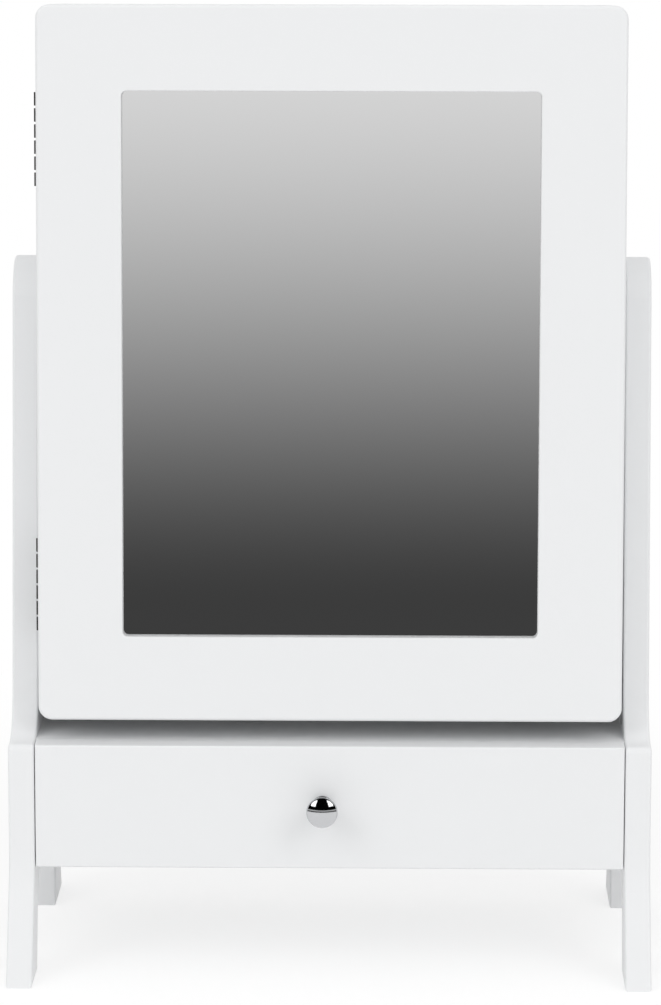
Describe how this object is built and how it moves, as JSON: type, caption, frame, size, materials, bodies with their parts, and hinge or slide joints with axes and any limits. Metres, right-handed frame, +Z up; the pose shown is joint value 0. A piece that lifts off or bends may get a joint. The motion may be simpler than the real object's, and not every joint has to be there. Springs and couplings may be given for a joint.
{
  "type": "mirrored jewelry cabinet",
  "caption": "Table-top jewelry cabinet with a mirrored door, tilting between the uprights of a flared-leg stand with a drawer.",
  "frame": {"origin": "on the floor, under the middle of the bounding box", "axes": "+Z up, -Y towards the mirror and drawer side, +X to the right as seen from the front"},
  "size_m": [0.37, 0.235, 0.558],
  "materials": {
    "white_lacquer": "smooth satin white lacquer on fibreboard",
    "drawer_wood": "plain sanded wood",
    "board": "grey-brown hardboard",
    "steel": "zinc-plated steel",
    "chrome": "polished chrome",
    "dark_hinge": "darkened steel",
    "hook_metal": "satin brass wire",
    "cap_plastic": "white matte plastic",
    "washer_plastic": "translucent nylon",
    "bumper_rubber": "clear soft rubber",
    "velvet": "short black velvet",
    "mirror": "silvered glass"
  },
  "bodies": {
    "stand": {"side_panel_left": "white_lacquer", "side_panel_right": "white_lacquer", "base_top": "white_lacquer", "base_bottom": "white_lacquer", "base_back": "white_lacquer", "base_screws": "steel", "screw_caps": "cap_plastic", "pivot_inserts": "steel", "pivot_bolts": "steel", "pivot_washers": "washer_plastic"},
    "drawer": {"drawer_front": "white_lacquer", "drawer_box_front": "drawer_wood", "drawer_side_left": "drawer_wood", "drawer_side_right": "drawer_wood", "drawer_back": "drawer_wood", "drawer_bottom": "drawer_wood", "drawer_lining": "velvet", "drawer_screws": "steel", "knob": "chrome", "knob_screw": "steel"},
    "cabinet": {"cabinet_side_left": "white_lacquer", "cabinet_side_right": "white_lacquer", "cabinet_bottom": "white_lacquer", "cabinet_top": "white_lacquer", "cabinet_dowels": "drawer_wood", "cabinet_back": "white_lacquer", "back_lining": "velvet", "hook_rail": "white_lacquer", "necklace_hooks": "hook_metal", "shelf_lower": "white_lacquer", "shelf_lip_lower": "white_lacquer", "shelf_upper": "white_lacquer", "shelf_lip_upper": "white_lacquer", "ring_rolls": "velvet", "catch_body": "cap_plastic", "catch_magnet": "steel", "door_bumpers": "bumper_rubber", "hinge_leaf_box_lower": "dark_hinge", "hinge_leaf_box_upper": "dark_hinge", "hinge_pins": "dark_hinge", "hinge_screws_box": "steel"},
    "door": {"door_frame": "white_lacquer", "mirror_glass": "mirror", "mirror_backing": "board", "mirror_beads": "white_lacquer", "door_lining": "velvet", "earring_bars": "white_lacquer", "strike_plate": "steel", "hinge_leaf_door_lower": "dark_hinge", "hinge_leaf_door_upper": "dark_hinge", "hinge_screws_door": "steel"}
  },
  "joints": [
    {"name": "cabinet_tilt", "type": "hinge", "parent": "stand", "child": "cabinet", "pos_m": [0, 0, 0.385], "axis": [-1, 0, 0], "range_deg": [-0.9, 12]},
    {"name": "door_swing", "type": "hinge", "parent": "cabinet", "child": "door", "pos_m": [-0.1679, -0.04984, 0.3525], "axis": [0, -0.0541, -0.9985], "range_deg": [0, 90]},
    {"name": "drawer_slide", "type": "slide", "parent": "stand", "child": "drawer", "axis": [0, -1, 0], "range_m": [0, 0.13]}
  ]
}
